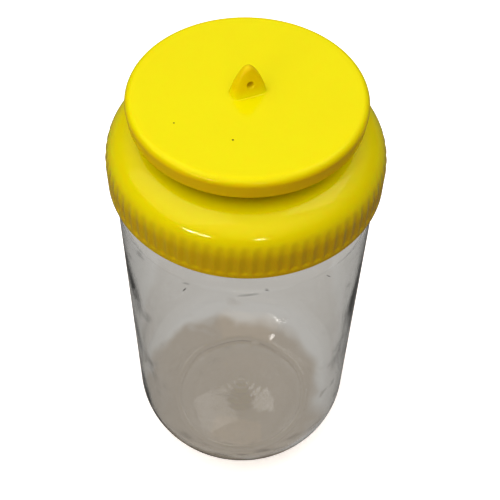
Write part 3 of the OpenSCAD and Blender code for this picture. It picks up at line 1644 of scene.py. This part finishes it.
    def _camera(self) -> None:
        """Adds the camera: it looks along +Y and down at the axis, shifted and rolled a little."""
        e, roll = math.radians(self.camera_elevation), math.radians(self.camera_roll)
        ahead = Vector((0, math.cos(e), -math.sin(e)))
        level_up = Vector((0, math.sin(e), math.cos(e)))
        level_right = Vector((1, 0, 0))
        right = level_right * math.cos(roll) + level_up * math.sin(roll)
        up = level_up * math.cos(roll) - level_right * math.sin(roll)
        data = bpy.data.cameras.new("camera")
        data.lens, data.sensor_width = self.focal, 36.0
        data.clip_start, data.clip_end = 0.01, 50.0
        camera = bpy.data.objects.new("camera", data)
        turn = Matrix((right, up, -ahead)).transposed().to_4x4()
        place = Vector((0, 0, self.aim_height)) - ahead * self.camera_distance
        camera.matrix_world = Matrix.Translation(place + right * self.camera_side) @ turn
        bpy.context.scene.collection.objects.link(camera)
        bpy.context.scene.camera = camera


# ---------------------------------------------------------------- build


def top_of(node: str) -> float:
    """Highest point of a CAD node in mm."""
    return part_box(node)[1].z / MM


def bottom_of(node: str) -> float:
    """Lowest point of a CAD node in mm."""
    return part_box(node)[0].z / MM


def reach_of(node: str) -> float:
    """Largest distance of a CAD node from the axis along X, in mm."""
    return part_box(node)[1].x / MM


# Painted dark reflections on the jar's wall where its shoulder begins: place, azimuth, tilt and
# half sizes in mm
PAINTED_REFLECTION_STROKES = (
    PaintedReflectionStroke((2.2, -52.4, 162.8), 0, -10, (6.5, 0.22, 3.0)),
    PaintedReflectionStroke((9.5, -51.6, 165.2), 10, 25, (1.6, 0.4, 3.0)),
    PaintedReflectionStroke((-22.2, -47.6, 158.6), -25, -60, (2.2, 0.35, 3.0)),
    PaintedReflectionStroke((-21.5, -47.9, 163.0), -25, -12, (3.4, 0.25, 3.0)),
    PaintedReflectionStroke((33.5, -40.4, 160.5), 40, 50, (2.6, 0.2, 3.0)),
)


def main() -> None:
    """Builds the studio and the trap's pieces in order."""
    logging.basicConfig(level=logging.INFO, format="%(message)s")
    Studio().build()
    legs = LegPlan()
    jar = Jar(radius=reach_of("jar"), rim=top_of("jar"))
    seal = SealRing(
        outer=reach_of("lid_seal"), bottom=bottom_of("lid_seal"), top=top_of("lid_seal")
    )
    lid = ScrewLid(radius=reach_of("screw_lid"), bottom=bottom_of("screw_lid"), legs=legs)
    funnel = EntryFunnel(
        flange_radius=reach_of("entry_funnel"),
        throat_z=bottom_of("entry_funnel"),
        flange_top=top_of("entry_funnel"),
    )
    roof = RainRoof(radius=reach_of("rain_roof"), peak=top_of("rain_roof"), legs=legs)
    lid_skin = MouldedPolypropylene(
        # Painted shade: below 197 mm the lid's lower shoulder and skirt turn a deeper yellow, as
        # their upright faces get less light
        "moulded_polypropylene_lid", roughness=0.09, thick=(PaintedShadeZone(197.0, 184.0, "#E3D000"),)
    )
    funnel_skin = MouldedPolypropylene("moulded_polypropylene_funnel", roughness=0.3)
    roof_skin = MouldedPolypropylene(
        "moulded_polypropylene_roof",
        roughness=0.18,
        sheen_level=0.25,
        specks=(Speck((-25.7, -17.8, roof.top), 0.32), Speck((-4.5, -25.4, roof.top), 0.4)),
        # Painted shade: the roof's lip below 217.8 mm and the lug above 218.4 mm turn a deeper
        # yellow, as their upright faces get less light
        thick=(PaintedShadeZone(217.8, 214.5, "#F6E200"), PaintedShadeZone(218.4, 222.5, "#EEDE00")),
    )
    pieces = [
        jar.build(BlownPet(reflection_strokes=PAINTED_REFLECTION_STROKES)),
        seal.build(FoamSheet()),
        lid.build(lid_skin),
        funnel.build(funnel_skin),
        roof.build(roof_skin),
    ]
    for piece in pieces:
        LOG.info("%s: %d faces", piece.name, len(piece.data.polygons))


if __name__ == "__main__":
    main()
